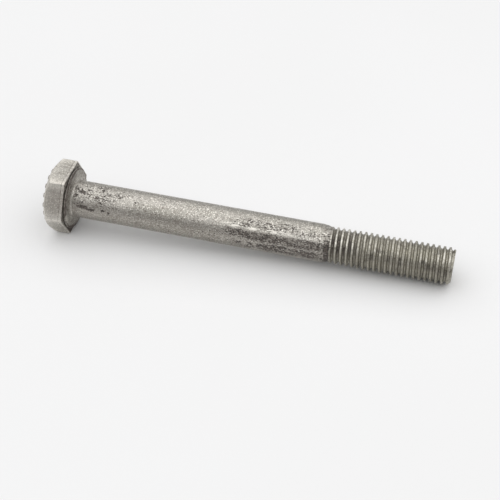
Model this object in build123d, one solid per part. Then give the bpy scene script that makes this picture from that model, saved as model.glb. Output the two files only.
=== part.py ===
from build123d import *
import math
import os

# A hex cap screw: forged hexagon head, plain full-body shank and a rolled right-hand thread.
# The axis is X, from the head towards the tip. The origin is the centre of the ring under the
# head that seats on the clamped part. Z is up, through two opposite flats of the hexagon, and
# the corners lie along Y. The real bolt is a single piece of steel, and each solid here is one
# named region of it. Neighbouring regions meet face to face, on planes across the axis.

# Sizes in millimetres, those of a quarter-inch fine-thread screw, two and a half inches long.
NOMINAL_LENGTH = 63.5
SHANK_DIAMETER = 6.25
ACROSS_FLATS = 11.0
HEX_CORNER_RADIUS = 0.35
HEAD_HEIGHT = 3.8

# The top of the head is coned off, so the hexagon ends in six arcs around a round flat.
CHAMFER_CIRCLE = 0.94 * ACROSS_FLATS
CHAMFER_ANGLE = 36.0

# Two arcs of plain raised blocks near the rim of the top, where forged heads carry raised marks.
MARK_HEIGHT = 0.25
MARK_LENGTH = 1.3
MARK_WIDTH = 0.75
MARK_OUTER_RADIUS = 5.0
MARKS_IN_AN_ARC = 7
MARK_SPACING_ANGLE = 19.0
MARK_ARC_CENTRES = (143.0, 323.0)

# The washer face is the round step that keeps the corners of the hexagon off the clamped part.
WASHER_FACE_DIAMETER = 0.945 * ACROSS_FLATS
WASHER_FACE_THICKNESS = 0.42
UNDER_HEAD_FILLET = 0.4

# The shank narrows on a shoulder to the size of the thread blank before the rolled thread.
SHOULDER_START = 42.2
SHOULDER_END = 43.4
BLANK_DIAMETER = 5.74
FULL_DEPTH_START = 44.2

# The thread is 28 turns to the inch, with 60 degree flanks and a blunt crest.
THREAD_PITCH = 25.4 / 28
THREAD_DIAMETER = 6.12
FLANK_HALF_ANGLE = 30.0
THREAD_HEIGHT = THREAD_PITCH * math.sqrt(3) / 2
THREAD_DEPTH = THREAD_HEIGHT * 17 / 24
CREST_WIDTH = THREAD_PITCH / 8
# A crest crosses this place along the axis at this angle, counted from Y towards Z.
CREST_PLACE = 44.45
CREST_ANGLE = 48.0

# The tip is bevelled, so that the screw finds its hole.
POINT_LENGTH = 1.1
POINT_CHAMFER = 0.5

# How far a raised feature reaches into the body below it, so that the two join as one solid.
ROOT_OVERLAP = 0.05

SHANK_RADIUS = SHANK_DIAMETER / 2
THREAD_RADIUS = THREAD_DIAMETER / 2
ROOT_RADIUS = THREAD_RADIUS - THREAD_DEPTH
HEX_UNDERSIDE = -WASHER_FACE_THICKNESS
HEAD_TOP = -HEAD_HEIGHT
POINT_START = NOMINAL_LENGTH - POINT_LENGTH


def turned(outline):
    """The solid that a closed outline of (place along the axis, radius) points sweeps about X."""
    face = make_face(Polyline(*outline, close=True))
    return revolve(face, axis=Axis.X)


def slab(low, high, reach=20.0):
    """A block that spans the places from low to high on the axis, wider than the bolt."""
    size = high - low
    return Pos((low + high) / 2, 0, 0) * Box(size, reach, reach)


def head_marks():
    """The raised blocks, each set along a radius of the head's top."""
    block_height = MARK_HEIGHT + ROOT_OVERLAP
    block = Pos(
        HEAD_TOP - MARK_HEIGHT + block_height / 2,
        MARK_OUTER_RADIUS - MARK_LENGTH / 2,
        0,
    ) * Box(block_height, MARK_LENGTH, MARK_WIDTH)
    first = -(MARKS_IN_AN_ARC - 1) / 2 * MARK_SPACING_ANGLE
    angles = [
        centre + first + place * MARK_SPACING_ANGLE
        for centre in MARK_ARC_CENTRES
        for place in range(MARKS_IN_AN_ARC)
    ]
    return [Rotation(angle, 0, 0) * block for angle in angles]


def hex_head():
    """The hexagon above the washer face: corners slightly round, top coned off and marked."""
    head_top_plane = Plane(origin=(HEAD_TOP, 0, 0), x_dir=(0, 1, 0), z_dir=(1, 0, 0))
    hexagon = RegularPolygon(ACROSS_FLATS / 2, 6, major_radius=False, rotation=0)
    rounded = fillet(hexagon.vertices(), HEX_CORNER_RADIUS)
    prism = extrude(head_top_plane * rounded, HEX_UNDERSIDE - HEAD_TOP)
    beyond_corners = ACROSS_FLATS
    drop = (beyond_corners - CHAMFER_CIRCLE / 2) * math.tan(math.radians(CHAMFER_ANGLE))
    cone = turned(
        [
            (HEAD_TOP, 0),
            (HEAD_TOP, CHAMFER_CIRCLE / 2),
            (HEAD_TOP + drop, beyond_corners),
            (HEAD_TOP + 2 * drop, beyond_corners),
            (HEAD_TOP + 2 * drop, 0),
        ]
    )
    return (prism & cone) + head_marks()


def washer_face():
    """The seating disc under the hexagon, with the fillet that carries it into the shank."""
    ring_radius = WASHER_FACE_DIAMETER / 2
    fillet_top = SHANK_RADIUS + UNDER_HEAD_FILLET
    outline = [
        Line((HEX_UNDERSIDE, 0), (HEX_UNDERSIDE, ring_radius)),
        Line((HEX_UNDERSIDE, ring_radius), (0, ring_radius)),
        Line((0, ring_radius), (0, fillet_top)),
        RadiusArc((0, fillet_top), (UNDER_HEAD_FILLET, SHANK_RADIUS), UNDER_HEAD_FILLET),
        Line((UNDER_HEAD_FILLET, SHANK_RADIUS), (UNDER_HEAD_FILLET, 0)),
        Line((UNDER_HEAD_FILLET, 0), (HEX_UNDERSIDE, 0)),
    ]
    return revolve(make_face(outline), axis=Axis.X)


def plain_shank():
    """The smooth body that fills the hole of the clamped parts."""
    return turned(
        [
            (UNDER_HEAD_FILLET, 0),
            (UNDER_HEAD_FILLET, SHANK_RADIUS),
            (SHOULDER_START, SHANK_RADIUS),
            (SHOULDER_START, 0),
        ]
    )


def thread_ridge():
    """The helical ridge, from inside the shoulder to past the tip, about the X axis."""
    turns_before_crest_mark = 2
    turns = math.ceil((NOMINAL_LENGTH - CREST_PLACE) / THREAD_PITCH) + turns_before_crest_mark + 1
    length = turns * THREAD_PITCH
    start = CREST_PLACE - turns_before_crest_mark * THREAD_PITCH
    inner_radius = ROOT_RADIUS - ROOT_OVERLAP
    slope = math.tan(math.radians(FLANK_HALF_ANGLE))
    half_crest = CREST_WIDTH / 2
    half_base = half_crest + (THREAD_RADIUS - inner_radius) * slope
    path = Helix(THREAD_PITCH, length, inner_radius)
    profile = make_face(
        Polyline(
            (inner_radius, 0, -half_base),
            (THREAD_RADIUS, 0, -half_crest),
            (THREAD_RADIUS, 0, half_crest),
            (inner_radius, 0, half_base),
            close=True,
        )
    )
    ridge = sweep(profile, path=path, is_frenet=True)
    # The helix climbs Z from the X direction: turned to climb X, it sets out from the Y direction.
    along_x = Plane(origin=(start, 0, 0), x_dir=(0, 1, 0), z_dir=(1, 0, 0))
    return along_x * Rotation(0, 0, CREST_ANGLE) * ridge


def threaded_end():
    """Everything past the plain shank in one solid: shoulder, core, ridge and bevelled tip."""
    core = turned(
        [
            (SHOULDER_START, 0),
            (SHOULDER_START, SHANK_RADIUS),
            (SHOULDER_END, BLANK_DIAMETER / 2),
            (FULL_DEPTH_START, ROOT_RADIUS),
            (NOMINAL_LENGTH + THREAD_PITCH, ROOT_RADIUS),
            (NOMINAL_LENGTH + THREAD_PITCH, 0),
        ]
    )
    clear_of_thread = 2 * SHANK_RADIUS
    bevel = turned(
        [
            (SHOULDER_START, 0),
            (SHOULDER_START, clear_of_thread),
            (NOMINAL_LENGTH - POINT_CHAMFER - clear_of_thread + THREAD_RADIUS, clear_of_thread),
            (NOMINAL_LENGTH, THREAD_RADIUS - POINT_CHAMFER),
            (NOMINAL_LENGTH, 0),
        ]
    )
    return (core + thread_ridge()) & bevel


def main():
    os.makedirs("parts", exist_ok=True)
    threaded = threaded_end()
    regions = {
        "hex_head": hex_head(),
        "washer_face": washer_face(),
        "plain_shank": plain_shank(),
        "thread_runout": threaded & slab(SHOULDER_START, FULL_DEPTH_START),
        "rolled_thread": threaded & slab(FULL_DEPTH_START, POINT_START),
        "chamfered_point": threaded & slab(POINT_START, NOMINAL_LENGTH),
    }
    for name, region in regions.items():
        export_step(region, f"parts/{name}.step")
        print(name, len(region.solids()), "solid", round(region.volume, 2), "mm3")


main()
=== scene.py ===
# %% [markdown]
# # A worn hex bolt
# This lesson dresses a measured bolt in the look of real, used, zinc-plated steel.
# The measured model comes in first and stays as it is. It is the frame that every new
# piece is built around, so nothing has to be fitted by eye. The frame is in metres.
# X runs along the bolt from head to tip, and Z goes up through two flats of the hexagon.

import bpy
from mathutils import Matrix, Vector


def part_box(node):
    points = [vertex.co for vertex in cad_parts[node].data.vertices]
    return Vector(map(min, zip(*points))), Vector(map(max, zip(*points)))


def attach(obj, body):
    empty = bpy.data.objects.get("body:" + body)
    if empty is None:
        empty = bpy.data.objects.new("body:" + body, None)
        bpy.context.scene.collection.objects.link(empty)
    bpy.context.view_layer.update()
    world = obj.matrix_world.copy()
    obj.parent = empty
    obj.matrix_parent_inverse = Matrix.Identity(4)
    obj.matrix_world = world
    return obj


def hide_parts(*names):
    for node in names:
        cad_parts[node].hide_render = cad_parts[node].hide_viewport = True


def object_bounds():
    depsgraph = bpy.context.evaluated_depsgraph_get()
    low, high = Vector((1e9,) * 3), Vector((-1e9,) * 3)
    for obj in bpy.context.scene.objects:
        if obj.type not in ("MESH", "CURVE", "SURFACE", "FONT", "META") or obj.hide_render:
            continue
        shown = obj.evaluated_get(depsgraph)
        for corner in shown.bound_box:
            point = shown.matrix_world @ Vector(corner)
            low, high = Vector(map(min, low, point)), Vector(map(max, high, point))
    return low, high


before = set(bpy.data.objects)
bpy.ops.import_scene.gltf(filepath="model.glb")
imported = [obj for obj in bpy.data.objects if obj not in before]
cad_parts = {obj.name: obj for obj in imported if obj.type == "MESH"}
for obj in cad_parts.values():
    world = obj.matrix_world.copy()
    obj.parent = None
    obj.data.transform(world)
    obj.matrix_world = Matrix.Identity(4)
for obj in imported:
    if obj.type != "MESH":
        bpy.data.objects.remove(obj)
cad_low, cad_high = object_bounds()
print("frame box in mm", [round(1000 * v, 2) for v in (*cad_low, *cad_high)])

# %% [markdown]
# ## Units and places
# A bolt is thought of in millimetres, and Blender's remesher also likes sizes near one.
# So each piece is modelled in millimetres and shrunk to metres as its last step.
# The lengths that pieces share are read from the boxes of the frame's own nodes.

# %% Shared sizes in millimetres
import math

import bmesh
import bpy
from mathutils import Matrix, Vector, noise

MM = 0.001


def box_mm(node):
    """The lowest and highest corners of a node of the frame, in millimetres."""
    low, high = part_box(node)
    return low / MM, high / MM


head_low, head_high = box_mm("hex_head")
ring_low, ring_high = box_mm("washer_face")
shank_low, shank_high = box_mm("plain_shank")
runout_low, runout_high = box_mm("thread_runout")
thread_low, thread_high = box_mm("rolled_thread")
point_low, point_high = box_mm("chamfered_point")
ACROSS_FLATS = head_high.z - head_low.z
HALF_FLAT = ACROSS_FLATS / 2
HEX_UNDERSIDE = head_high.x
SHANK_RADIUS = shank_high.z
THREAD_RADIUS = thread_high.z
TIP = point_high.x
print("shank radius", round(SHANK_RADIUS, 3), "thread radius", round(THREAD_RADIUS, 3))

# %% [markdown]
# ## Camera
# The camera stands a hand's width above and in front of the bolt, a little to the tip's
# side, and looks down at a point just in front of its middle, at about 43 degrees. A camera
# object looks along its own -Z axis, so its matrix is put together from the three
# directions of the view.

# %% Aim the camera
VIEW_DISTANCE = 184.95
VIEW_TURN = math.radians(-13.27)
VIEW_DROP = math.radians(43.09)
VIEW_ROLL = math.radians(-1.39)
LENS = 82.8
SENSOR = 36.0
AIM_OFFSET = Vector((1.62, -4.71, 0))

scene = bpy.context.scene
middle = (cad_low + cad_high) / 2
aim = middle + AIM_OFFSET * MM
gaze = Vector((
    math.sin(VIEW_TURN) * math.cos(VIEW_DROP),
    math.cos(VIEW_TURN) * math.cos(VIEW_DROP),
    -math.sin(VIEW_DROP),
))
level = gaze.cross(Vector((0, 0, 1))).normalized()
below = gaze.cross(level)
right = math.cos(VIEW_ROLL) * level + math.sin(VIEW_ROLL) * below
down = math.cos(VIEW_ROLL) * below - math.sin(VIEW_ROLL) * level

camera_data = bpy.data.cameras.new("studio_camera")
camera_data.lens = LENS
camera_data.sensor_width = SENSOR
camera_data.clip_start = 0.01
camera_data.clip_end = 50.0
camera = bpy.data.objects.new("studio_camera", camera_data)
scene.collection.objects.link(camera)
pose = Matrix((right, -down, -gaze)).transposed().to_4x4()
pose.translation = aim - gaze * VIEW_DISTANCE * MM
camera.matrix_world = pose
scene.camera = camera
print("camera stands at", [round(v / MM, 1) for v in camera.matrix_world.translation])

# %% [markdown]
# ## Sums in a shader
# A procedural finish is a lot of arithmetic on values that change over the surface. Placing
# a Math node for every sum hides the thought behind it. The class below wraps one socket,
# and Python's own signs then add the nodes: `1 - mask * 0.3` reads as what it does.

# %% One socket that can be used in sums
class Field:
    """A number, colour or vector that changes over a finish."""

    def __init__(self, finish, socket):
        self.finish = finish
        self.socket = socket

    def math(self, operation, *values):
        """A new Math node that works on these values."""
        return self.finish.node("ShaderNodeMath", {"operation": operation}, dict(enumerate(values)))

    def __add__(self, other):
        return self.math("ADD", self, other)

    def __sub__(self, other):
        return self.math("SUBTRACT", self, other)

    def __mul__(self, other):
        return self.math("MULTIPLY", self, other)

    def __rsub__(self, other):
        return self.math("SUBTRACT", other, self)

    __radd__ = __add__
    __rmul__ = __mul__

    def most(self, other):
        """The larger of the two values."""
        return self.math("MAXIMUM", self, other)

    def rise(self, low, high):
        """0 below low, 1 above high, and an even S between. With low above high it falls."""
        return self.finish.node(
            "ShaderNodeMapRange",
            {"interpolation_type": "SMOOTHSTEP"},
            {0: self, "From Min": low, "From Max": high, "To Min": 0.0, "To Max": 1.0},
        )


# %% [markdown]
# ## A finish
# Every metal here starts in the same way: a Principled shader that is mostly metallic, and
# Object coordinates turned into millimetres, so that a grain of 0.3 means 0.3 mm on every
# piece. Streaks along the bolt come from squeezing the coordinates along X before the
# noise reads them. Stains have a place on the bolt, given as a place along the axis and an
# angle round it: 0 degrees faces the front, 90 degrees faces up and 180 degrees the back.

# %% The finish class
class Finish:
    """A material, with short ways to add nodes to it."""

    def __init__(self, name):
        self.material = bpy.data.materials.new(name)
        self.material.use_nodes = True
        self.tree = self.material.node_tree
        self.shader = self.tree.nodes["Principled BSDF"]
        metres = self.node("ShaderNodeTexCoord", output="Object")
        self.place = self.vector("MULTIPLY", metres, (1 / MM,) * 3)

    def node(self, kind, settings=None, sockets=None, output=0):
        """Adds a node: its settings first, then the values or links of its sockets."""
        made = self.tree.nodes.new(kind)
        for key, value in (settings or {}).items():
            setattr(made, key, value)
        for key, value in (sockets or {}).items():
            if isinstance(value, Field):
                self.tree.links.new(value.socket, made.inputs[key])
            else:
                made.inputs[key].default_value = value
        return Field(self, made.outputs[output])

    def vector(self, operation, *values, output=0):
        """A new Vector Math node that works on these values."""
        return self.node(
            "ShaderNodeVectorMath", {"operation": operation}, dict(enumerate(values)), output
        )

    def mix(self, share, first, second):
        """The first colour where share is 0, the second where it is 1."""
        return self.node(
            "ShaderNodeMix", {"data_type": "RGBA"}, {0: share, 6: first, 7: second}, output=2
        )

    def noise(self, grain, detail=3.0, seed=0.0, stretch=1.0, roughness=0.55):
        """Noise from 0 to 1 with lumps of about grain mm, and stretch times that along X."""
        squeezed = self.vector("MULTIPLY", self.place, (1 / stretch, 1.0, 1.0))
        return self.node(
            "ShaderNodeTexNoise",
            {"noise_dimensions": "4D"},
            {0: squeezed, "W": seed, "Scale": 1 / grain, "Detail": detail,
             "Roughness": roughness},
        )

    def ragged(self, amount, grain, seed):
        """The place on the piece, pushed about at random, so that a stain's rim is uneven."""
        push = self.node(
            "ShaderNodeTexNoise",
            {"noise_dimensions": "4D"},
            {0: self.place, "W": seed, "Scale": 1 / grain, "Detail": 3.0},
            output=1,
        )
        centred = self.vector("SUBTRACT", push, (0.5, 0.5, 0.5))
        return self.vector("MULTIPLY_ADD", centred, (2 * amount,) * 3, self.place)

    def spot(self, spot_place, x, angle, length, width):
        """1 inside a stain of that length along X and that width round the shank."""
        turn = math.radians(angle)
        centre = (x, -SHANK_RADIUS * math.cos(turn), SHANK_RADIUS * math.sin(turn))
        offset = self.vector("SUBTRACT", spot_place, centre)
        scaled = self.vector("MULTIPLY", offset, (2 / length, 2 / width, 2 / width))
        return self.vector("LENGTH", scaled, output="Value").rise(1.1, 0.6)

    def facing(self, angle, inner, outer, radius=SHANK_RADIUS):
        """1 within inner degrees of an angle round the bolt, and 0 from outer degrees."""
        turn = math.radians(angle)
        towards = (0.0, -math.cos(turn) / radius, math.sin(turn) / radius)
        share = self.vector("DOT_PRODUCT", self.place, towards, output="Value")
        return share.rise(math.cos(math.radians(outer)), math.cos(math.radians(inner)))

    def along(self):
        """The place along the bolt, in millimetres from the bearing face."""
        return self.node("ShaderNodeSeparateXYZ", None, {0: self.place})

    def wear(self, colour, roughness, metallic, height, strength, distance):
        """Feeds the shader. Height is a Field in units of distance, which is in metres."""
        bump = self.node(
            "ShaderNodeBump", None, {"Height": height, "Strength": strength, "Distance": distance}
        )
        for key, value in {
            "Base Color": colour, "Roughness": roughness, "Metallic": metallic, "Normal": bump
        }.items():
            if isinstance(value, Field):
                self.tree.links.new(value.socket, self.shader.inputs[key])
            else:
                self.shader.inputs[key].default_value = value


# %% [markdown]
# ## Worn zinc
# Zinc plating goes dull in the air. It turns to a matte grey with a warm cast, paler where
# it was rubbed, and greenish-olive where it weathered. The same base serves all pieces, and
# each finish then adds its own stains. Colours are linear light values, not screen values.

# %% Colours of the metal
RUBBED_ZINC = (0.825, 0.795, 0.73, 1.0)
MATTE_ZINC = (0.442, 0.422, 0.386, 1.0)
OLIVE_ZINC = (0.35, 0.335, 0.295, 1.0)
PINKISH_ZINC = (0.44, 0.38, 0.345, 1.0)
OLIVE_THREAD = (0.36, 0.345, 0.27, 1.0)
DULL_BROWN = (0.25, 0.225, 0.198, 1.0)
BROWN_STAIN = (0.16, 0.13, 0.11, 1.0)
BLACK_GRIME = (0.035, 0.031, 0.029, 1.0)


def worn_zinc(name, seed):
    """The shared base: the finish, its colour, and its fine and broad noise fields."""
    finish = Finish(name)
    broad = finish.noise(3.2, detail=3.0, seed=seed, stretch=2.5)
    fine = finish.noise(0.20, detail=2.0, seed=seed + 1, roughness=0.7)
    specks = finish.noise(0.24, detail=3.0, seed=seed + 2, stretch=1.3, roughness=0.65)
    colour = finish.mix(broad.rise(0.38, 0.66), MATTE_ZINC, OLIVE_ZINC)
    colour = finish.mix(fine.rise(0.50, 0.62), colour, RUBBED_ZINC)
    colour = finish.mix(specks.rise(0.53, 0.62) * 0.8, colour, DULL_BROWN)
    return finish, colour, fine, broad


print("matte zinc", MATTE_ZINC[:3], "rubbed zinc", RUBBED_ZINC[:3])

# %% [markdown]
# ## Finish of the head
# The forged head is matte. Its edges are rubbed bright, faint marks of the trimming die
# run along the flats, and grime and painted shade sit in the corners under it. Only the shape knows
# where its edges and corners are, so the mesh of each forged piece carries two attributes,
# `edge_rub` and `grime`, and this finish reads them. The attribute `grime` carries painted shade as
# well as dirt.

# %% Head finish
def head_finish():
    """Matte forged zinc with die marks, bright where `edge_rub` says, dark where `grime` does."""
    finish, colour, fine, broad = worn_zinc("zinc_plated_forging", 11.0)
    die_marks = finish.noise(0.30, detail=3.0, seed=13.0, stretch=7.0)
    rubbed = finish.node("ShaderNodeAttribute", {"attribute_name": "edge_rub"}, output="Fac")
    grime_and_shade = finish.node("ShaderNodeAttribute", {"attribute_name": "grime"}, output="Fac")
    mottle = finish.noise(0.5, detail=4.0, seed=14.0, roughness=0.65)
    pink = finish.facing(30.0, 20.0, 40.0, radius=HALF_FLAT)
    colour = finish.mix(0.25, colour, MATTE_ZINC)
    colour = finish.mix(pink * 0.3, colour, PINKISH_ZINC)
    colour = finish.mix(die_marks.rise(0.50, 0.64) * 0.55, colour, DULL_BROWN)
    colour = finish.mix(rubbed * fine.rise(0.25, 0.55) * 0.85, colour, RUBBED_ZINC)
    # The attribute brings dirt and painted shade, and mottled dirt spreads out from it.
    grime = (grime_and_shade * 0.9 + (mottle + grime_and_shade * 0.3).rise(0.57, 0.74) * 0.5).rise(0.0, 1.15)
    colour = finish.mix(grime, colour, finish.mix(fine, BROWN_STAIN, BLACK_GRIME))
    roughness = 0.42 + fine * 0.16 + grime * 0.2
    height = fine * 0.7 + broad * 0.5 + die_marks * 0.6
    finish.wear(colour, roughness, 0.94 - grime * 0.5, height, strength=0.7, distance=0.08 * MM)
    return finish.material


head_metal = head_finish()
print(head_metal.name, "has", len(head_metal.node_tree.nodes), "nodes")

# %% [markdown]
# ## Scuffed steel
# The shank and the thread are one bar, so they share a base, and no step shows between their
# finishes. Brown-black scuffs cover some zones of the bar. Each zone below is a product: where
# it grows along the bolt, which way it faces, and how much of the surface it covers there.
# Adding that cover to a mottled noise, and keeping only the top of the sum, gives scuffs that
# are dense inside a zone and thin out at its rim.

# %% Scuffs by zone
def scuffed_steel(name):
    """The base of the shank and the thread, where its scuffs lie, with a painted shade on its front
    side and a painted glint.
    """
    finish, colour, fine, _ = worn_zinc(name, 21.0)
    along = finish.along()
    streaks = finish.noise(0.3, detail=3.0, seed=24.0, stretch=6.0)
    coarse = finish.noise(0.8, detail=2.0, seed=25.0, stretch=2.5)
    grainy = finish.noise(0.17, detail=1.0, seed=26.0, stretch=2.0)
    mottle = coarse * 0.35 + grainy * 0.65
    front = along.rise(20.0, 32.0) * finish.facing(26.0, 3.0, 20.0) * 0.9
    lower = along.rise(20.0, 36.0) * finish.facing(-6.0, 7.0, 23.0) * 0.82
    specked = along.rise(26.0, 31.0) * (0.3 + along.rise(40.0, 34.0) * 0.3)
    specked = specked * finish.facing(62.0, 4.0, 22.0)
    # This zone also darkens the top of the shank near the head.
    by_head = along.rise(13.0, 3.0) * finish.facing(64.0, 22.0, 52.0) * 0.5
    back = along.rise(8.0, 14.0) * along.rise(34.0, 24.0) * finish.facing(215.0, 10.0, 32.0) * 0.65
    # The mottle is about a half, so this collar of grime starts near 42.5 mm, with a torn edge.
    torn_edge = (along + mottle * 6.0).rise(45.2, 46.2)
    collar = torn_edge * (0.4 + finish.facing(-5.0, 40.0, 70.0) * 0.7) * along.rise(44.1, 43.6)
    off_thread = along.rise(44.0, 43.0)
    cover = front.most(lower).most(specked).most(by_head).most(back) * off_thread
    # A bright line runs along the upper rim of the front zone: a painted glint on a rubbed streak.
    glint_band = along.rise(25.0, 27.0) * along.rise(42.0, 35.0) * finish.facing(48.3, 0.5, 6.0)
    rubbed_glint = glint_band * streaks.rise(0.46, 0.54)
    scuffs = (mottle + cover.most(collar) * 0.19).rise(0.58, 0.68) * (1 - rubbed_glint)
    # The metal between the scuffs is dull too. The side that faces the front also gets a band of
    # painted shade, in place of the dark reflection between the lamp and the floor.
    dulled = (front.most(lower) * off_thread).most(collar)
    painted_front_shade = finish.facing(2.0, 24.0, 42.0) * 0.4
    colour = finish.mix(streaks.rise(0.45, 0.7) * 0.2, colour, PINKISH_ZINC)
    colour = finish.mix((dulled * 0.6).most(painted_front_shade), colour, DULL_BROWN)
    # The painted glint is mixed in as pale zinc.
    colour = finish.mix(rubbed_glint, colour, RUBBED_ZINC)
    return finish, colour, fine, streaks, scuffs


def dirty_steel(finish, colour, fine, grime, thickness, height):
    """Soot of that thickness on the grimy places, with its duller shine, and the relief."""
    soot = finish.mix(fine.rise(0.42, 0.66), BLACK_GRIME, BROWN_STAIN)
    colour = finish.mix(grime * thickness, colour, soot)
    roughness = 0.46 - fine.rise(0.45, 0.62) * 0.16 + grime * 0.1
    finish.wear(colour, roughness, 0.95 - grime * 0.45, height, strength=0.9, distance=0.09 * MM)
    return finish.material


# %% [markdown]
# ## Finish of the shank
# The drawn shank carries fine lengthwise grain and small pits besides the scuffs. The pits
# near the head are the ones that catch the eye, so they are placed one by one. The mesh of
# the shank sinks at the same places later on, so the list of pits has one home, here.

# %% Shank finish
PITS = [
    # place along the bolt, angle round it, length along it, width round it
    (0.9, 52, 0.9, 0.7), (1.8, 65, 1.2, 0.7), (4.5, 55, 0.8, 0.5), (8.3, 66, 0.6, 0.5),
    (2.2, 18, 2.2, 0.8), (3.6, 13, 1.8, 0.6), (5.8, 17, 0.9, 0.5), (6.8, 13, 0.6, 0.4),
    (5.3, 83, 0.9, 0.6), (3.0, 74, 0.8, 0.4), (6.4, 70, 0.7, 0.4), (11.0, 60, 0.6, 0.4),
    (12.0, 250, 1.6, 0.7), (17.5, 200, 0.9, 0.6), (30.0, 230, 3.0, 1.0), (22.0, 300, 1.2, 0.6),
]


def shank_finish():
    """Scuffed steel with pits that have an uneven rim."""
    finish, colour, fine, streaks, scuffs = scuffed_steel("zinc_plated_shank")
    ragged = finish.ragged(0.45, 0.5, 23.0)
    pits = 0.0
    for x, angle, length, width in PITS:
        pits = finish.spot(ragged, x, angle, length, width) + pits
    grime = (scuffs * 0.95 + pits).rise(0.0, 1.0)
    height = fine + streaks * 0.5 - grime * 0.6
    return dirty_steel(finish, colour, fine, grime, 0.9, height)


shank_metal = shank_finish()
print(shank_metal.name, "has", len(PITS), "pits and", len(shank_metal.node_tree.nodes), "nodes")

# %% [markdown]
# ## Finish of the thread
# Crests are rubbed bright by every nut that went over them, and roots keep old oil and
# dirt. The crests are also painted brighter on the upper side, as a highlight, and a little
# painted light lifts the roots away from the shank. The mesh of each threaded piece says how
# far up the flank a point is, in an attribute called `crest`, from 0 at the root to 1 at the
# crest. A nut seldom reaches the turns nearest the shank, so their roots are the blackest.

# %% Thread finish
def thread_finish():
    """Scuffed steel up to the run-out, and then olive metal with dark roots and bright crests,
    rubbed and with a painted highlight on top.
    """
    finish, colour, fine, streaks, scuffs = scuffed_steel("zinc_plated_thread")
    along = finish.along()
    threaded = along.rise(43.3, 44.2)
    crest = finish.node("ShaderNodeAttribute", {"attribute_name": "crest"}, output="Fac")
    patches = finish.noise(1.3, detail=4.0, seed=33.0)
    chips = finish.noise(0.5, detail=3.0, seed=34.0)
    near_shank = along.rise(50.0, 46.0)
    root = crest.rise(0.8, 0.1)
    sooty = 0.4 + finish.facing(45.0, 28.0, 58.0) * 0.55
    dark_root = root * (0.12 + near_shank * sooty) * patches.rise(0.25, 0.5) * threaded
    blotches = patches.rise(0.53, 0.62) * chips.rise(0.38, 0.52) * crest.rise(1.1, 0.7) * threaded
    grime = dark_root.most(blotches * 0.6).most(scuffs * 0.95)
    # Painted highlight: crests on the upper side, under the lamp, are painted brighter.
    painted_top_highlight = 0.3 + finish.facing(95.0, 45.0, 88.0) * 0.7
    rubbed = crest.rise(0.74, 0.95) * (near_shank * 0.3 + chips.rise(0.36, 0.6) * 0.6) * painted_top_highlight
    # Painted light: the roots away from the shank are lifted a little.
    rubbed = rubbed.most(root * (1 - near_shank) * threaded * 0.1)
    colour = finish.mix(threaded * 0.5, colour, OLIVE_THREAD)
    colour = finish.mix(rubbed.rise(0.0, 1.1), colour, RUBBED_ZINC)
    height = fine + streaks * 0.5 * (1 - threaded) - grime * 0.3
    return dirty_steel(finish, colour, fine, grime, 1.0, height)


thread_metal = thread_finish()
print(thread_metal.name, "has", len(thread_metal.node_tree.nodes), "nodes")

# %% [markdown]
# ## From bmesh to piece
# Every piece ends in the same way. It is shrunk to metres, its normals are turned outwards,
# edges sharper than a limit are kept crisp, and the rest is shaded smooth. The object stays
# at the origin, because its place is in its mesh.

# %% Finish a piece
CRISP_ANGLE = math.radians(50)


def make_piece(bm, name, node, metal):
    """Turns a bmesh in millimetres into the finished piece that stands in for a node."""
    bmesh.ops.recalc_face_normals(bm, faces=bm.faces)
    for face in bm.faces:
        face.smooth = True
    for edge in bm.edges:
        edge.smooth = len(edge.link_faces) != 2 or edge.calc_face_angle() < CRISP_ANGLE
    open_edges = sum(len(edge.link_faces) != 2 for edge in bm.edges)
    bmesh.ops.scale(bm, vec=(MM,) * 3, verts=bm.verts)
    volume = bm.calc_volume() / MM**3
    mesh = bpy.data.meshes.new(name)
    bm.to_mesh(mesh)
    bm.free()
    mesh.materials.append(metal)
    piece = bpy.data.objects.new(name, mesh)
    scene.collection.objects.link(piece)
    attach(piece, "root")
    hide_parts(node)
    print(name, len(mesh.polygons), "faces", round(volume, 1), "mm3", open_edges, "open edges")
    return piece


print("edges sharper than", round(math.degrees(CRISP_ANGLE)), "degrees stay crisp")

# %% [markdown]
# ## Turned forms
# A shank, a ring and a cone are all round, so each is an outline spun about the X axis, which
# is what a lathe does. An outline needs only its corners: long runs are divided before the
# spin, so that the mesh is fine enough to be dented.

# %% Turn an outline
POLE_GAP = 0.0001


def divided(outline, grain):
    """The outline with extra points, so that no run off the axis is longer than grain."""
    points = [outline[0]]
    for (x0, r0), (x1, r1) in zip(outline, outline[1:]):
        parts = math.ceil(math.dist((x0, r0), (x1, r1)) / grain) if min(r0, r1) > 0 else 1
        for part in range(1, parts + 1):
            points.append((x0 + (x1 - x0) * part / parts, r0 + (r1 - r0) * part / parts))
    return points


def lathe(outline, steps, grain):
    """A closed form: an outline of (place along X, radius) points, turned about the X axis."""
    bm = bmesh.new()
    corners = [bm.verts.new((place, radius, 0)) for place, radius in divided(outline, grain)]
    for a, b in zip(corners, corners[1:]):
        bm.edges.new((a, b))
    bmesh.ops.spin(
        bm, geom=bm.verts[:] + bm.edges[:], cent=(0, 0, 0), axis=(1, 0, 0), dvec=(0, 0, 0),
        angle=math.tau, steps=steps, use_merge=True, use_duplicate=False,
    )
    bmesh.ops.remove_doubles(bm, verts=bm.verts, dist=POLE_GAP)
    return bm


trial = lathe([(0, 0), (0, 1), (1, 1), (1, 0)], steps=24, grain=2)
print("a turned disc 1 mm thick and 1 mm in radius has", round(trial.calc_volume(), 2), "mm3")
trial.free()

# %% [markdown]
# ## Uneven surfaces
# Real steel is never quite true. The helpers below read a point of a mesh and answer in plain
# numbers, and every dent, nick and bevel further down is made of them.

# %% Read a point, move a point
def angle_of(point):
    """The angle round the bolt, in degrees: 0 at the front, 90 on top, 180 at the back."""
    return math.degrees(math.atan2(point.z, -point.y)) % 360


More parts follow.
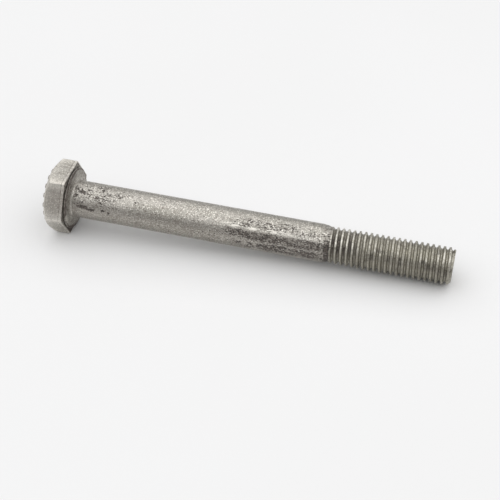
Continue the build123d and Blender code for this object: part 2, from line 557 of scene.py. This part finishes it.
def lump(point, grain, seed, stretch=1.0):
    """Even noise from -1 to 1 with lumps of about grain mm, stretched along X."""
    return noise.noise(Vector((point.x / stretch, point.y, point.z)) / grain + Vector((seed, 0, 0)))


def ease(value, low, high):
    """0 below low, 1 above high, and an even S between."""
    share = min(max((value - low) / (high - low), 0.0), 1.0)
    return share * share * (3 - 2 * share)


def bump_at(value, centre, half_width):
    """1 at the centre, falling evenly to 0 at half_width from it."""
    share = min(abs(value - centre) / half_width, 1.0)
    return (1 - share * share) ** 2


def move_radially(bm, change):
    """Moves each vertex that is off the axis outwards by change(point, radius)."""
    for vertex in bm.verts:
        radius = math.hypot(vertex.co.y, vertex.co.z)
        if radius > POLE_GAP:
            share = 1 + change(vertex.co, radius) / radius
            vertex.co.y *= share
            vertex.co.z *= share


def steel_skin(point, radius):
    """Slight unevenness that all turned pieces share, so that neighbours still meet."""
    return 0.012 * lump(point, 2.0, 3.0, stretch=3.0) + 0.006 * lump(point, 0.5, 5.0)


top_of_shank = Vector((shank_low.x, 0, SHANK_RADIUS))
print("the shank's top starts", round(steel_skin(top_of_shank, SHANK_RADIUS), 4), "mm off true")

# %% [markdown]
# ## The head
# A hex head is forged: a round blank is squeezed in a die, and a trimming die then cuts
# the flats and leaves a faint lip. The outline is a circle of six points, pulled into a
# prism. Its corners are bevelled, a cone trims the top, and plain raised blocks stand on
# the rim, as on many forged heads. Soft worn edges are hard to bevel where this many forms
# meet, so a voxel remesh melts everything into one skin, and smoothing rounds it off.

# %% Trimmed hexagon
MARK_HEIGHT = 0.25
HEAD_TOP = head_low.x + MARK_HEIGHT
CORNER_BEVEL = 0.22
CONE_CIRCLE = 0.47 * ACROSS_FLATS
CONE_RISE = math.tan(math.radians(36))
ALONG_X = Matrix(((0, 0, 1, 0), (1, 0, 0, 0), (0, 1, 0, 0), (0, 0, 0, 1)))
CORNERS_SIDEWAYS = Matrix.Rotation(math.radians(30), 4, "Z")


def loose_object(bm, name):
    """A throwaway object, for a modifier that needs one."""
    mesh = bpy.data.meshes.new(name)
    bm.to_mesh(mesh)
    bm.free()
    made = bpy.data.objects.new(name, mesh)
    scene.collection.objects.link(made)
    return made


def applied(made):
    """The mesh of an object with its modifiers worked in."""
    return bpy.data.meshes.new_from_object(
        made.evaluated_get(bpy.context.evaluated_depsgraph_get())
    )


def hexagon_prism():
    """The head before trimming, with its six upright edges bevelled."""
    bm = bmesh.new()
    corner = HALF_FLAT / math.cos(math.radians(30))
    bmesh.ops.create_circle(
        bm, cap_ends=True, segments=6, radius=corner,
        matrix=Matrix.Translation((HEAD_TOP, 0, 0)) @ ALONG_X @ CORNERS_SIDEWAYS,
    )
    pulled = bmesh.ops.extrude_face_region(bm, geom=bm.faces[:])
    ends = [item for item in pulled["geom"] if isinstance(item, bmesh.types.BMVert)]
    bmesh.ops.translate(bm, vec=(HEX_UNDERSIDE - HEAD_TOP, 0, 0), verts=ends)
    bmesh.ops.recalc_face_normals(bm, faces=bm.faces)
    uprights = [
        edge for edge in bm.edges
        if abs(edge.verts[0].co.x - edge.verts[1].co.x) > CORNER_BEVEL
    ]
    bmesh.ops.bevel(
        bm, geom=uprights, offset=CORNER_BEVEL, segments=4, profile=0.5, affect="EDGES",
        material=-1,
    )
    return bm


def trimming_cone():
    """A cone as wide as the head's flat top, that widens downwards and ends below the head."""
    reach = 9.0
    return lathe(
        [
            (HEAD_TOP, 0),
            (HEAD_TOP, CONE_CIRCLE),
            (HEAD_TOP + (reach - CONE_CIRCLE) * CONE_RISE, reach),
            (HEX_UNDERSIDE + 1, reach),
            (HEX_UNDERSIDE + 1, 0),
        ],
        steps=160,
        grain=reach,
    )


prism = loose_object(hexagon_prism(), "prism")
cone = loose_object(trimming_cone(), "cone")
trim = prism.modifiers.new("trim", "BOOLEAN")
trim.operation = "INTERSECT"
trim.solver = "EXACT"
trim.object = cone
trimmed = applied(prism)
print("the trimmed hexagon has", len(trimmed.polygons), "faces")

# %% [markdown]
# Two arcs of plain blocks stand near the rim of the top. Each one starts a little way down in
# the head, so that the remesh melts it on, as the die raised it from the same steel.

# %% Raised blocks on the head's top
MARK_ARC_CENTRES = (143, 323)
MARKS_IN_AN_ARC = 7
MARK_SPACING = 19
MARK_OUTER_RADIUS = 5.0
MARK_LENGTH = 1.3
MARK_WIDTH = 0.75
MARK_ROOT = 0.2
VOXEL = 0.075


def add_marks(bm):
    """Plain blocks along two arcs, each as deep in the head as MARK_ROOT says."""
    depth = MARK_HEIGHT + MARK_ROOT
    first = -(MARKS_IN_AN_ARC - 1) / 2 * MARK_SPACING
    place = Matrix.Translation(
        (HEAD_TOP - MARK_HEIGHT + depth / 2, MARK_OUTER_RADIUS - MARK_LENGTH / 2, 0)
    )
    size = Matrix.Diagonal((depth, MARK_LENGTH, MARK_WIDTH, 1))
    for centre in MARK_ARC_CENTRES:
        for count in range(MARKS_IN_AN_ARC):
            turn = Matrix.Rotation(math.radians(centre + first + count * MARK_SPACING), 4, "X")
            bmesh.ops.create_cube(bm, size=1, matrix=turn @ place @ size)


marked = bmesh.new()
marked.from_mesh(trimmed)
add_marks(marked)
blank = loose_object(marked, "marked_blank")
melt = blank.modifiers.new("melt", "REMESH")
melt.mode = "VOXEL"
melt.voxel_size = VOXEL
skin = applied(blank)
for used in (prism, cone, blank):
    bpy.data.objects.remove(used)
print("head skin has", len(skin.polygons), "faces")

# %% [markdown]
# The remeshed head is dense, so small features can now be pushed into it: the two shallow
# grooves that the trimming die left near the underside, dents, and the roughness of a
# forging. The remesh leaves the skin a touch proud, so all of it also sinks a little.

# %% Dents and grooves of the head
SINK = 0.02
GROOVE_DEPTH = 0.055
TRIM_GROOVES = [
    # place along X, half width, share of the groove's depth
    (-0.95, 0.16, 1.0), (-0.62, 0.12, 0.7),
]


def flat_height(point):
    """How far a point is from the axis, measured square to the nearest flat."""
    turn = math.radians((angle_of(point) % 60) - 30)
    return math.hypot(point.y, point.z) * math.cos(turn)


def on_flat(point):
    """1 on the six flats, and 0 from a little way under them."""
    return bump_at(flat_height(point), HALF_FLAT, 0.35)


def grooved(point):
    """How much of a groove's full depth there is at a point."""
    depth = sum(share * bump_at(point.x, place, half) for place, half, share in TRIM_GROOVES)
    return depth * on_flat(point)


def forged_dents(point):
    """How far the forging moves a point outwards, in millimetres."""
    dent = 0.035 * lump(point, 1.4, 1.0) + 0.012 * lump(point, 0.35, 2.0)
    return dent - SINK - GROOVE_DEPTH * grooved(point)


print("the grooves are cut at", [place for place, half, share in TRIM_GROOVES], "mm")

# %% [markdown]
# Wear follows shape. Corners, the rim under them, the cone and the tops of the blocks are
# rubbed. Dirt stays in the grooves, and painted shade darkens the foot of the blocks and the
# underside of the head, most at its low front corner.

# %% Wear of the head
def up_a_mark(point):
    """How far up a raised block a point is: 0 on the head's top, 1 on top of the block."""
    inside = math.hypot(point.y, point.z) < CONE_CIRCLE
    return (HEAD_TOP - point.x) / MARK_HEIGHT * inside


def rubbed_share(point, normal):
    """How rubbed a point is, from 0 to 1, for the attribute `edge_rub`."""
    radius = math.hypot(point.y, point.z)
    corner = max(0.0, (radius - flat_height(point)) / 0.8 - 0.15)
    rim = 0.4 * bump_at(point.x, HEX_UNDERSIDE - 0.15, 0.3)
    near_top = 0.35 * ease(-point.x, 2.0, 3.4)
    cone_rim = 0.7 * bump_at(radius, CONE_CIRCLE, 0.3) * bump_at(point.x, HEAD_TOP, 0.5)
    on_cone = 0.8 * (normal.x < -0.5) * ease(radius, CONE_CIRCLE - 0.1, CONE_CIRCLE + 0.1)
    mark_top = 0.9 * ease(up_a_mark(point), 0.7, 0.95)
    return min(1.0, (corner + rim + near_top) * on_flat(point) + cone_rim + on_cone + mark_top)


def grime_and_shade_share(point):
    """How much dirt and painted shade sit at a point, from 0 to 1, for the attribute `grime`."""
    # Painted shade: the underside of the hexagon is darker, most at its low front corner, and so is
    # the foot of each block.
    shade_low_corner = bump_at(angle_of(point), 300, 28)
    shade_under_head = bump_at(point.x, HEX_UNDERSIDE, 0.12) * (1 - on_flat(point)) * (1 + shade_low_corner)
    on_top = (math.hypot(point.y, point.z) < CONE_CIRCLE) * (point.x < HEAD_TOP + 0.1)
    shade_at_mark_foot = bump_at(up_a_mark(point), 0.3, 0.35) * on_top
    return min(1.0, 0.5 * shade_under_head + 0.4 * grooved(point) + 0.75 * shade_at_mark_foot)


cone_edge = Vector((HEAD_TOP, CONE_CIRCLE, 0))
print("the rim of the flat top is rubbed to", round(rubbed_share(cone_edge, Vector((-1, 0, 0))), 2))

# %% [markdown]
# Smoothing rounds off the steps that the voxels left. Each vertex then takes its two shares,
# of wear and of dirt with painted shade, from its place before the dents, and moves along its
# normal.

# %% Dress the head
head = bmesh.new()
head.from_mesh(skin)
for _ in range(3):
    bmesh.ops.smooth_vert(head, verts=head.verts, factor=0.5, use_axis_x=True,
                          use_axis_y=True, use_axis_z=True)
head.normal_update()
rub_layer = head.verts.layers.float.new("edge_rub")
grime_and_shade_layer = head.verts.layers.float.new("grime")
for vertex in head.verts:
    vertex[rub_layer] = rubbed_share(vertex.co, vertex.normal)
    vertex[grime_and_shade_layer] = grime_and_shade_share(vertex.co)
    vertex.co += vertex.normal * forged_dents(vertex.co)
make_piece(head, "forged_hex_head", "hex_head", head_metal)

# %% [markdown]
# ## The washer face
# The round step under the hexagon is what seats on the work. A crease parts it from the
# hexagon, its rim is soft from the die, and a small fillet carries it into the shank. A
# turned outline gives all of it. It starts just inside the head, so that no gap can show.

# %% Washer face
RING_RADIUS = ring_high.z
OVERLAP = 0.1
FILLET = ring_high.x
FILLET_REACH = 0.75
FILLET_STEPS = 8
fillet_arc = [
    (
        FILLET - FILLET * math.sin(math.pi / 2 * (1 - step / FILLET_STEPS)),
        SHANK_RADIUS + FILLET_REACH * (1 - math.sin(math.pi / 2 * step / FILLET_STEPS)),
    )
    for step in range(FILLET_STEPS + 1)
]
ring = lathe(
    [
        # from inside the head out through the crease
        (ring_low.x - OVERLAP, 0),
        (ring_low.x - OVERLAP, RING_RADIUS - 0.32),
        (ring_low.x + 0.05, RING_RADIUS - 0.3),
        # the side of the ring
        (ring_low.x + 0.14, RING_RADIUS - 0.06),
        (ring_low.x + 0.24, RING_RADIUS),
        (-0.16, RING_RADIUS - 0.04),
        # the soft rim, the face and the fillet
        (-0.07, RING_RADIUS - 0.15),
        (0, RING_RADIUS - 0.34),
        *fillet_arc,
        (FILLET, 0),
    ],
    steps=220,
    grain=0.1,
)
print("ring of radius", round(RING_RADIUS, 3), "mm, with a fillet", FILLET_REACH, "mm wide")

# %% [markdown]
# The ring has the head's finish, so it carries the same two attributes. A painted shadow lies in
# the crease outside it and painted shade on its low front, dirt lies along the rim of its face,
# and one spot on the front is rubbed clean. Its upper back is a little less dark.

# %% Wear of the washer face
ring_rub = ring.verts.layers.float.new("edge_rub")
ring_grime_and_shade = ring.verts.layers.float.new("grime")
for vertex in ring.verts:
    radius = math.hypot(vertex.co.y, vertex.co.z)
    angle = angle_of(vertex.co)
    # Painted shadow in the crease between the hexagon and the ring.
    crease_shadow = bump_at(radius, RING_RADIUS - 0.32, 0.28) * (vertex.co.x < -0.2)
    on_face = ease(radius, SHANK_RADIUS + 0.1, SHANK_RADIUS + 0.9)
    # Painted shade on the low front of the ring.
    shade_low_front = bump_at(angle, 302, 34) * ease(radius, RING_RADIUS - 0.9, RING_RADIUS - 0.2)
    shiny_spot = bump_at(angle, 350, 20) * bump_at(radius, RING_RADIUS - 0.5, 0.55)
    face_edge = bump_at(radius, RING_RADIUS - 0.2, 0.25) * (vertex.co.x > -0.12)
    far_side = ease(angle, 80, 130)
    # Dirt and painted shade add up here.
    dirt_and_shade = 0.22 + 0.2 * on_face + 0.4 * crease_shadow + 0.5 * shade_low_front + 0.4 * face_edge
    dirt_and_shade -= 0.12 * far_side
    vertex[ring_grime_and_shade] = min(0.95, dirt_and_shade) * (1 - shiny_spot)
    vertex[ring_rub] = 0.8 * shiny_spot
    if vertex.co.x > -0.2:
        uneven = 0.06 * lump(vertex.co, 1.5, 7.0) + 0.02 * lump(vertex.co, 0.4, 8.0)
        vertex.co.x += uneven * on_face
move_radially(ring, steel_skin)
make_piece(ring, "underhead_washer_face", "washer_face", head_metal)

# %% [markdown]
# ## The shank
# The shank is a drawn bar, so it is turned from one long line, cut fine enough to carry
# real pits and dents. Where the finish paints a pit, the surface also sinks a little, and
# under the scuffs on the front it is rough with corrosion.

# %% Shank
PIT_DEPTH = 0.06


def apart(angle, other):
    """How many degrees lie between two angles round the bolt, the short way."""
    return abs((angle - other + 180) % 360 - 180)


def shank_skin(point, radius):
    """How far a point of the shank moves outwards, in millimetres."""
    angle = angle_of(point)
    sunk = 0.0
    for x, at, length, width in PITS:
        if abs(point.x - x) < length:
            around = math.radians(apart(angle, at)) * radius
            share = math.hypot(2 * (point.x - x) / length, 2 * around / width)
            sunk += PIT_DEPTH * bump_at(share, 0, 1.2)
    corroded = bump_at(angle, 27, 26) * min(1.0, max(0.0, (point.x - 24) / 8))
    rough = 0.022 * corroded * lump(point, 0.45, 9.0, stretch=1.6)
    return steel_skin(point, radius) + rough - sunk


shank = lathe(
    [
        (shank_low.x, 0),
        (shank_low.x, SHANK_RADIUS),
        (shank_high.x, SHANK_RADIUS),
        (shank_high.x, 0),
    ],
    steps=200,
    grain=0.12,
)
move_radially(shank, shank_skin)
make_piece(shank, "drawn_shank_bar", "plain_shank", shank_metal)

# %% [markdown]
# ## The thread
# A thread is rolled: hard dies squeeze a slimmer blank until steel flows up into ridges,
# often with a small seam along the crest where the two sides met. One pitch of the outline
# is spun about the axis while it climbs, which is Blender's Screw in bmesh form: `spin`
# with a `dvec`. The whole threaded end is one sweep, and cuts across the axis then give
# the run-out, the thread and the tip, so their surfaces meet exactly. The outline is that
# of a worn thread: round roots that are not cut to full depth, and a crest that starts too
# high, so that wear can take it down unevenly.

# %% One pitch of the outline
PITCH = 25.4 / 28
THREAD_DEPTH = PITCH * math.sqrt(3) / 2 * 17 / 24
ROOT_RADIUS = THREAD_RADIUS - THREAD_DEPTH
CREST_PLACE = 44.45
CREST_ANGLE = math.radians(48)

half_crest = PITCH / 16
flank = THREAD_DEPTH * math.tan(math.radians(30))
# The crest of the sweep stands this share of the depth up, and wear cuts it back to 1.
SHARP = 1.12
half_pitch = [
    # place from the middle of the crest, share of the way up from root to crest
    (0.0, SHARP), (0.05, SHARP), (0.09, 1.04), (0.13, 0.97), (0.17, 0.88),
    (half_crest + 0.45 * flank, 0.6), (half_crest + 0.7 * flank, 0.33),
    (half_crest + 0.95 * flank, 0.15), (PITCH / 2, 0.1),
]
one_pitch = [(-place, share) for place, share in half_pitch[:0:-1]] + half_pitch
print("pitch", round(PITCH, 4), "mm, depth", round(THREAD_DEPTH, 3), "mm,", len(one_pitch), "points")

# %% [markdown]
# `spin` makes one turn. Its copies, each moved on by one pitch, make the rest, which is much
# quicker than one long spin. The first turns lie along the shoulder and are flattened later.

# %% Sweep the screw
STEPS_PER_TURN = 96
TURNS_BEFORE_CREST = 4
TURNS = 28
WELD = 0.004

sweep = bmesh.new()
across = Vector((0, math.cos(CREST_ANGLE), math.sin(CREST_ANGLE)))
start = CREST_PLACE - TURNS_BEFORE_CREST * PITCH
corners = [
    sweep.verts.new(Vector((start + place, 0, 0)) + across * (ROOT_RADIUS + share * THREAD_DEPTH))
    for place, share in one_pitch
]
for a, b in zip(corners, corners[1:]):
    sweep.edges.new((a, b))
bmesh.ops.spin(
    sweep, geom=sweep.verts[:] + sweep.edges[:], cent=(0, 0, 0), axis=(1, 0, 0),
    dvec=(PITCH / STEPS_PER_TURN, 0, 0), angle=math.tau, steps=STEPS_PER_TURN,
    use_merge=False, use_duplicate=False,
)
one_turn = sweep.verts[:] + sweep.edges[:] + sweep.faces[:]
for count in range(1, TURNS):
    copied = bmesh.ops.duplicate(sweep, geom=one_turn)["geom"]
    next_turn = [item for item in copied if isinstance(item, bmesh.types.BMVert)]
    bmesh.ops.translate(sweep, verts=next_turn, vec=(count * PITCH, 0, 0))
bmesh.ops.remove_doubles(sweep, verts=sweep.verts, dist=WELD)
print("swept to x", round(max(v.co.x for v in sweep.verts), 3), len(sweep.faces), "faces")

# %% [markdown]
# The sweep is a perfect thread from end to end. Real ones fade out into the shoulder, wear
# down most near the shank, carry nicks, and end in a bevel. The functions below give the
# radii that the shoulder and the bevel allow, and what wear takes off the ridge.

# %% Shoulder, wear and bevel
SHOULDER_START = shank_high.x + 0.2
SHOULDER_END = 43.4
BLANK_RADIUS = 2.87
BEVEL = 0.62
BURR = 0.32


def blank_radius(x):
    """The radius of the bar without a thread, which narrows along the shoulder."""
    share = min(max((x - SHOULDER_START) / (SHOULDER_END - SHOULDER_START), 0.0), 1.0)
    return SHANK_RADIUS + (BLANK_RADIUS - SHANK_RADIUS) * share


def nicks(point):
    """How much of the ridge's height is knocked off at a point: small nicks, broad wear."""
    return 0.45 * max(0.0, lump(point, 0.5, 16.0) - 0.22) + 0.12 * max(0.0, lump(point, 1.2, 15.0))


def crest_seam(point, share, formed):
    """The depth of the broken seam along the crest, where the turn is fully formed."""
    broken = ease(lump(point, 2.0, 18.0), -0.5, 0.2)
    return 0.10 * bump_at(share, SHARP, 0.05) * formed * broken


def bevel_radius(point):
    """The radius that the bevel of the tip allows. It was cut askew, so one side is fuller."""
    full_side = bump_at(apart(angle_of(point), 345), 0, 60)
    return THREAD_RADIUS - BEVEL * (1 - 0.55 * full_side) * ease(point.x, TIP - 0.75, TIP + 0.1)


def burr_height(point):
    """A small burr that stands out from the end of the bevel, on the upper back."""
    return BURR * bump_at(angle_of(point), 118, 30) * ease(point.x, TIP - 0.45, TIP - 0.05)


print("the shoulder narrows by", round(SHANK_RADIUS - BLANK_RADIUS, 3), "mm")

# %% [markdown]
# Each vertex of the sweep is now moved to the radius that those give at its place. Its share
# of the way up from root to crest goes along for the finish.

# %% Wear the sweep down
# The ridge rises out of the shoulder between the two FADE places. Its crest gets its full
# height, and its seam, between the two FORMED places.
FADE_START = 43.2
FADE_END = 44.25
FORMED_START = 46.5
FORMED_END = 50.0

crest_layer = sweep.verts.layers.float.new("crest")
for vertex in sweep.verts:
    here = vertex.co.copy()
    radius = math.hypot(here.y, here.z)
    share = (radius - ROOT_RADIUS) / THREAD_DEPTH
    depth = ease(here.x, FADE_START, FADE_END)
    formed = ease(here.x, FORMED_START, FORMED_END)
    nick = nicks(here)
    seam = crest_seam(here, share, formed)
    height = min(share * (0.8 + 0.2 * formed), 1.0 - nick) - seam
    ridge = ROOT_RADIUS + height * THREAD_DEPTH + 0.012 * lump(here, 0.5, 17.0)
    target = min(blank_radius(here.x) * (1 - depth) + ridge * depth, bevel_radius(here))
    target += burr_height(here) + steel_skin(here, radius) * (1 - 0.5 * depth)
    vertex[crest_layer] = (min(share, 1.0) - 4 * seam - nick) * depth + 0.7 * (1 - depth)
    sway = 0.035 * lump(here, 0.9, 20.0) * depth
    vertex.co = Vector((here.x + sway, here.y * target / radius, here.z * target / radius))
print("worn down to x", round(max(v.co.x for v in sweep.verts), 3))

# %% [markdown]
# A cut across the axis opens the sweep. The open rim is closed with rings that shrink
# towards the axis, so that the end faces are built of even quads and can be dished. Cuts
# inside the bolt stay flat, and the end of the tip is dished, as sheared wire is.

# %% Cut the three pieces
CORE_RADIUS = 2.6
TIP_DISH = -0.25


def close_end(bm, rim, x, dish):
    """Closes the rim of a cut at x with shrinking rings. The middle lies dish further along X."""
    for scale, sink in ((0.93, 0.35), (0.8, 0.75), (0.5, 1.0), (0.2, 1.0)):
        grown = bmesh.ops.extrude_edge_only(bm, edges=rim)["geom"]
        rim = [item for item in grown if isinstance(item, bmesh.types.BMEdge)
               and all(v in grown for v in item.verts)]
        ring_verts = [item for item in grown if isinstance(item, bmesh.types.BMVert)]
        for vertex in ring_verts:
            radius = math.hypot(vertex.co.y, vertex.co.z)
            share = scale * CORE_RADIUS / radius
            vertex.co.y *= share
            vertex.co.z *= share
            vertex.co.x = x + dish * sink + (0.03 * lump(vertex.co, 0.6, 19.0) if dish else 0)
    bmesh.ops.contextual_create(bm, geom=rim)


def threaded_piece(name, node, low, high, dish=0.0):
    """The part of the sweep from low to high, closed at both ends."""
    bm = sweep.copy()
    for x, side in ((low, -1), (high, 1)):
        cut = bmesh.ops.bisect_plane(
            bm, geom=bm.verts[:] + bm.edges[:] + bm.faces[:], dist=0.0005,
            plane_co=(x, 0, 0), plane_no=(side, 0, 0), clear_outer=True,
        )
        rim = [item for item in cut["geom_cut"] if isinstance(item, bmesh.types.BMEdge)]
        close_end(bm, rim, x, dish if side > 0 else 0.0)
    return make_piece(bm, name, node, thread_metal)


threaded_piece("thread_runout_collar", "thread_runout", runout_low.x, runout_high.x)
threaded_piece("rolled_screw_thread", "rolled_thread", thread_low.x, thread_high.x)
threaded_piece("bevelled_screw_tip", "chamfered_point", point_low.x, TIP, dish=TIP_DISH)
sweep.free()

# %% [markdown]
# ## Floor
# The bolt rests on one flat of its head and on the tip, so it leans by about two degrees.
# The frame keeps the bolt level, and the floor is tilted under it instead.

# %% Floor
FLOOR_SIZE = 6.0
GAP = 0.03
LAST_CREST = 62.9
rest_head = Vector((HEX_UNDERSIDE, 0, head_low.z)) * MM
rest_tip = Vector((LAST_CREST, 0, -THREAD_RADIUS)) * MM
lean = math.atan2(rest_tip.z - rest_head.z, rest_tip.x - rest_head.x)
print("the floor is tilted by", round(math.degrees(lean), 2), "degrees")

ground = bmesh.new()
bmesh.ops.create_grid(ground, x_segments=8, y_segments=8, size=FLOOR_SIZE / 2)
bmesh.ops.rotate(ground, verts=ground.verts, cent=(0, 0, 0), matrix=Matrix.Rotation(-lean, 3, "Y"))
bmesh.ops.translate(ground, verts=ground.verts, vec=rest_head - Vector((0, 0, GAP)) * MM)
floor_mesh = bpy.data.meshes.new("pale_table")
ground.to_mesh(floor_mesh)
ground.free()
floor = bpy.data.objects.new("pale_table", floor_mesh)
scene.collection.objects.link(floor)

table_top = Finish("matte_white_board")
cloudy = table_top.noise(60.0, detail=2.0, seed=41.0)
board = table_top.mix(cloudy, (0.80, 0.80, 0.80, 1.0), (0.83, 0.83, 0.835, 1.0))
grain = table_top.noise(0.8, seed=42.0)
table_top.wear(board, 0.7, 0.0, grain, strength=0.15, distance=0.1 * MM)
floor_mesh.materials.append(table_top.material)

# %% [markdown]
# ## Light
# One wide soft box overhead, a little towards the camera's side, gives the broad band of
# light along the top of the shank. A dim, even world fills the sides.

# %% Light
world = bpy.data.worlds.new("soft_room")
world.use_nodes = True
background = world.node_tree.nodes["Background"]
background.inputs["Color"].default_value = (0.97, 0.985, 1.0, 1.0)
background.inputs["Strength"].default_value = 0.25
scene.world = world

BOX_HEIGHT = 0.6
BOX_LENGTH = 2.6
RADIANCE = 1.12
near_edge = -BOX_HEIGHT / math.tan(math.radians(37))
far_edge = BOX_HEIGHT / math.tan(math.radians(30))
lamp_data = bpy.data.lights.new("overhead_soft_box", "AREA")
lamp_data.shape = "RECTANGLE"
lamp_data.size = BOX_LENGTH
lamp_data.size_y = far_edge - near_edge
lamp_data.energy = RADIANCE * math.pi * BOX_LENGTH * (far_edge - near_edge)
lamp_data.color = (1.0, 0.995, 0.99)
lamp = bpy.data.objects.new("overhead_soft_box", lamp_data)
lamp.location = (middle.x, (near_edge + far_edge) / 2, BOX_HEIGHT)
scene.collection.objects.link(lamp)
print("the soft box is", BOX_LENGTH, "m by", round(far_edge - near_edge, 2), "m")

scene.view_settings.view_transform = "Standard"
scene.view_settings.look = "None"
